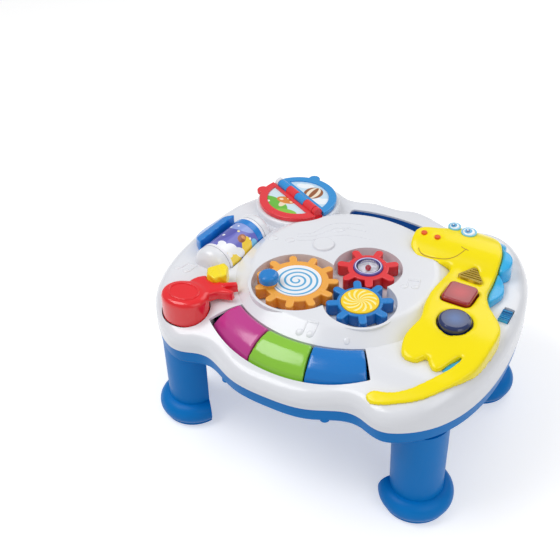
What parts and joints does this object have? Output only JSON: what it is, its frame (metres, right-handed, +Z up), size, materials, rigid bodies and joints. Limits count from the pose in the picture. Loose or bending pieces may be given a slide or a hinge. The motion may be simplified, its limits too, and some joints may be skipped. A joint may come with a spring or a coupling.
{
  "type": "musical activity table",
  "caption": "Child's standing activity table with a white deck on a blue base and plug-in legs, meshing gears, tipping keys, animal light buttons, a flip book, a picture drum and a press bird.",
  "frame": {"origin": "on the floor under the middle of the round gear plateau", "axes": "+Z up, -Y towards the keys, +Y towards the handle, +X to the right seen from the keys"},
  "size_m": [0.38, 0.3348, 0.1928],
  "materials": {
    "shell_white": "smooth moulded",
    "base_blue": "smooth moulded",
    "steel": "zinc plated",
    "cell": "printed sleeve",
    "board_green": "solder mask",
    "pad_grey": "silicone",
    "grille_gold": "smooth",
    "lamp_red": "clear tinted",
    "switch_black": "moulded",
    "orange": "smooth moulded",
    "blue": "smooth moulded",
    "red": "smooth moulded",
    "spiral_print": "printed",
    "yellow": "smooth moulded",
    "purple": "smooth moulded",
    "clear": "clear plastic",
    "bead": "smooth",
    "pin_white": "smooth",
    "spine_blue": "smooth moulded",
    "nostril_red": "smooth",
    "lens_red": "translucent",
    "lens_blue": "translucent",
    "magenta": "smooth moulded",
    "green": "smooth moulded",
    "card": "laminated print",
    "drum_white": "smooth moulded",
    "drum_print": "laminated print"
  },
  "bodies": {
    "table": {"top_shell": "shell_white", "base_shell": "base_blue", "drum_guard": "shell_white", "housing_screws": "steel", "batteries": "cell", "battery_contacts": "steel", "circuit_board": "board_green", "board_screws": "steel", "key_board": "board_green", "contact_pads": "pad_grey", "speaker": "steel", "speaker_grille": "grille_gold", "lights": "lamp_red", "power_switch": "switch_black", "wiring": "switch_black", "gear_screws": "steel", "gear_washers": "steel", "key_pins": "steel", "dinosaur": "yellow", "dinosaur_spines": "spine_blue", "dinosaur_eyes": "spine_blue", "dinosaur_eye_rings": "shell_white", "dinosaur_nostrils": "nostril_red", "flip_pin": "steel", "drum_axle": "steel", "bird_pad": "pad_grey"},
    "battery_cover": {"battery_door": "base_blue", "battery_door_screw": "steel"},
    "switch": {"power_switch_knob": "orange"},
    "square_light": {"square_light_button": "lens_red"},
    "round_light": {"round_light_button": "lens_blue"},
    "orange_wheel": {"orange_gear": "orange", "spiral_disc": "spiral_print", "crank_pin": "pin_white"},
    "crank": {"crank_knob": "yellow"},
    "blue_wheel": {"blue_gear": "blue", "swirl_disc": "yellow"},
    "red_wheel": {"red_gear": "red", "rattle_ring": "purple", "rattle_bowl": "shell_white", "rattle_dome": "clear"},
    "bead": {"rattle_bead": "bead"},
    "left_key": {"key_left": "magenta"},
    "middle_key": {"key_middle": "green"},
    "right_key": {"key_right": "blue"},
    "red_leaf": {"flip_leaf_red": "red", "flip_knuckles_red": "red", "flip_card_red": "card"},
    "blue_leaf": {"flip_leaf_blue": "blue", "flip_knuckles_blue": "blue", "flip_card_blue": "card"},
    "drum": {"drum_core": "drum_white", "drum_label": "drum_print", "drum_trim": "blue"},
    "bird": {"bird_button": "red", "bird_comb": "yellow"},
    "front_left_leg": {"leg_front_left": "base_blue"},
    "front_right_leg": {"leg_front_right": "base_blue"},
    "back_left_leg": {"leg_back_left": "base_blue"},
    "back_right_leg": {"leg_back_right": "base_blue"}
  },
  "joints": [
    {"name": "orange_spin", "type": "hinge", "parent": "table", "child": "orange_wheel", "pos_m": [-0.032, -0.049, 0.172], "axis": [0, 0, 1], "continuous": true},
    {"name": "blue_spin", "type": "hinge", "parent": "table", "child": "blue_wheel", "pos_m": [0.04114, -0.04798, 0.172], "axis": [0, 0, 1], "continuous": true},
    {"name": "red_spin", "type": "hinge", "parent": "table", "child": "red_wheel", "pos_m": [0.02349, 0.00701, 0.172], "axis": [0, 0, 1], "continuous": true},
    {"name": "crank_turn", "type": "hinge", "parent": "orange_wheel", "child": "crank", "pos_m": [-0.05421, -0.06764, 0.187], "axis": [0, 0, 1], "continuous": true},
    {"name": "drum_spin", "type": "hinge", "parent": "table", "child": "drum", "pos_m": [-0.134, -0.0145, 0.1635], "axis": [0.075, 0.9972, 0], "continuous": true},
    {"name": "bead_roll", "type": "slide", "parent": "red_wheel", "child": "bead", "axis": [1, 0, 0], "range_m": [-0.003, 0.003]},
    {"name": "left_key_press", "type": "hinge", "parent": "table", "child": "left_key", "pos_m": [-0.04554, -0.10048, 0.15], "axis": [0.9245, -0.3811, 0], "range_deg": [0, 4.5], "stiffness_Nm_per_rad": 1.2, "springref_deg": -3.44},
    {"name": "middle_key_press", "type": "hinge", "parent": "table", "child": "middle_key", "pos_m": [0, -0.1095, 0.15], "axis": [1, 0, 0], "range_deg": [0, 4.5], "stiffness_Nm_per_rad": 1.2, "springref_deg": -3.44},
    {"name": "right_key_press", "type": "hinge", "parent": "table", "child": "right_key", "pos_m": [0.04554, -0.10048, 0.15], "axis": [0.9245, 0.3811, 0], "range_deg": [0, 4.5], "stiffness_Nm_per_rad": 1.2, "springref_deg": -3.44},
    {"name": "blue_leaf_turn", "type": "hinge", "parent": "table", "child": "blue_leaf", "pos_m": [-0.11, 0.09, 0.1805], "axis": [0.891, -0.454, 0], "range_deg": [0, 180]},
    {"name": "red_leaf_turn", "type": "hinge", "parent": "table", "child": "red_leaf", "pos_m": [-0.11, 0.09, 0.1805], "axis": [-0.891, 0.454, 0], "range_deg": [0, 180]},
    {"name": "bird_press", "type": "slide", "parent": "table", "child": "bird", "axis": [0, 0, -1], "range_m": [0, 0.003], "stiffness_N_per_m": 450, "springref_m": -0.003},
    {"name": "square_light_press", "type": "slide", "parent": "table", "child": "square_light", "axis": [0, 0, -1], "range_m": [0, 0.0025], "stiffness_N_per_m": 350, "springref_m": -0.002},
    {"name": "round_light_press", "type": "slide", "parent": "table", "child": "round_light", "axis": [0, 0, -1], "range_m": [0, 0.0025], "stiffness_N_per_m": 350, "springref_m": -0.002},
    {"name": "switch_slide", "type": "slide", "parent": "table", "child": "switch", "axis": [0, 1, 0], "range_m": [0, 0.007]},
    {"name": "battery_cover_lift", "type": "slide", "parent": "table", "child": "battery_cover", "axis": [0, 0, -1], "range_m": [0, 0.03]},
    {"name": "front_left_leg_pull", "type": "slide", "parent": "table", "child": "front_left_leg", "axis": [0, 0, -1], "range_m": [0, 0.03]},
    {"name": "front_right_leg_pull", "type": "slide", "parent": "table", "child": "front_right_leg", "axis": [0, 0, -1], "range_m": [0, 0.03]},
    {"name": "back_left_leg_pull", "type": "slide", "parent": "table", "child": "back_left_leg", "axis": [0, 0, -1], "range_m": [0, 0.03]},
    {"name": "back_right_leg_pull", "type": "slide", "parent": "table", "child": "back_right_leg", "axis": [0, 0, -1], "range_m": [0, 0.03]}
  ],
  "couplings": [
    {"joint": "blue_spin", "follows": "orange_spin", "ratio": -1.375},
    {"joint": "red_spin", "follows": "orange_spin", "ratio": 1.5714}
  ]
}
